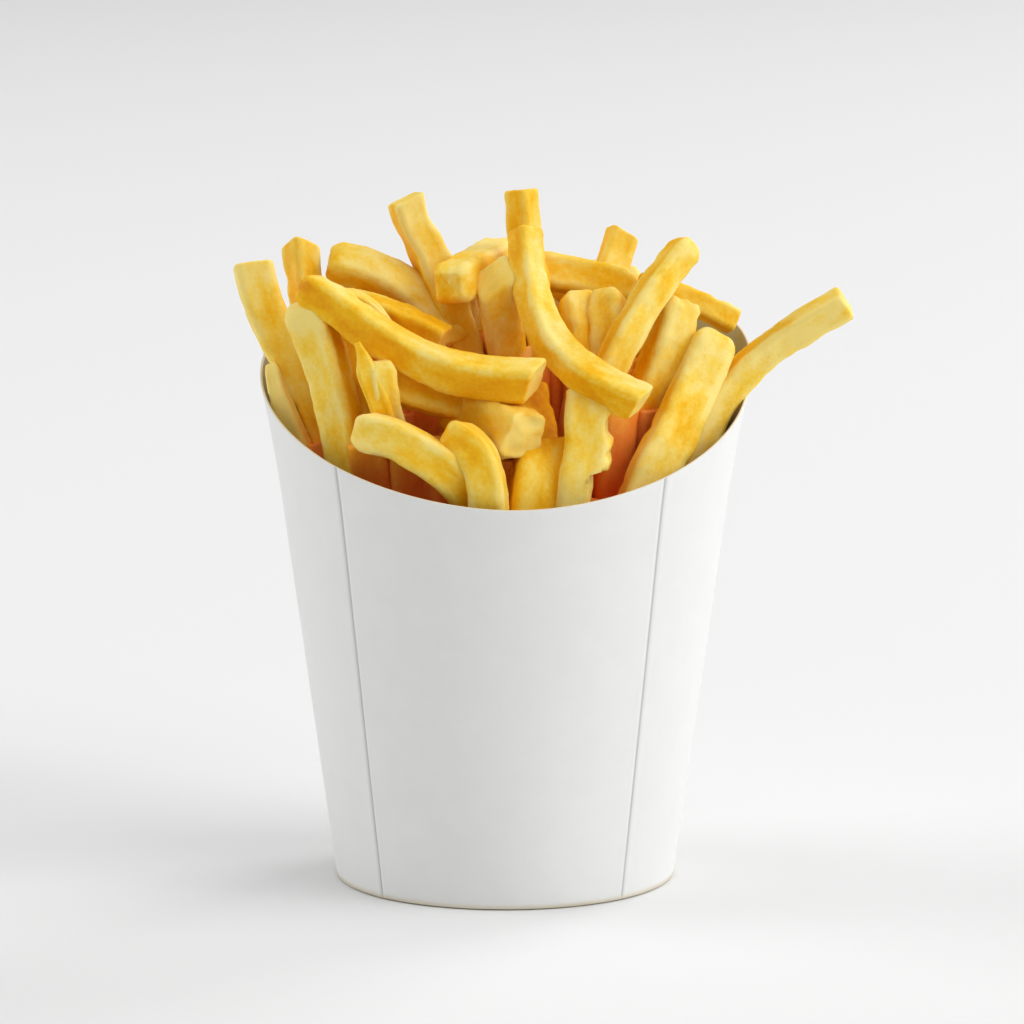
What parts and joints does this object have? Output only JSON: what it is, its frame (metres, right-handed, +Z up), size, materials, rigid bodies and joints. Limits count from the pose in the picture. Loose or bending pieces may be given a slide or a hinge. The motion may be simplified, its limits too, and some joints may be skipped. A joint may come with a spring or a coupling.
{
  "type": "carton of french fries",
  "caption": "Heap of thick straight-cut french fries standing and leaning in a plain tapered paperboard carton with a scooped rim.",
  "frame": {"origin": "middle of the flat underside", "axes": "+Z up, -Y towards the low front of the scooped rim, +X to the right seen from the front"},
  "size_m": [0.1244, 0.098, 0.138],
  "materials": {
    "paperboard": "smooth uncoated white board with a soft sheen",
    "board_disc": "plain matt white board",
    "fried_potato": null
  },
  "bodies": {
    "root": {"carton_wall": "paperboard", "carton_base": "board_disc", "fries": "fried_potato"}
  },
  "joints": []
}
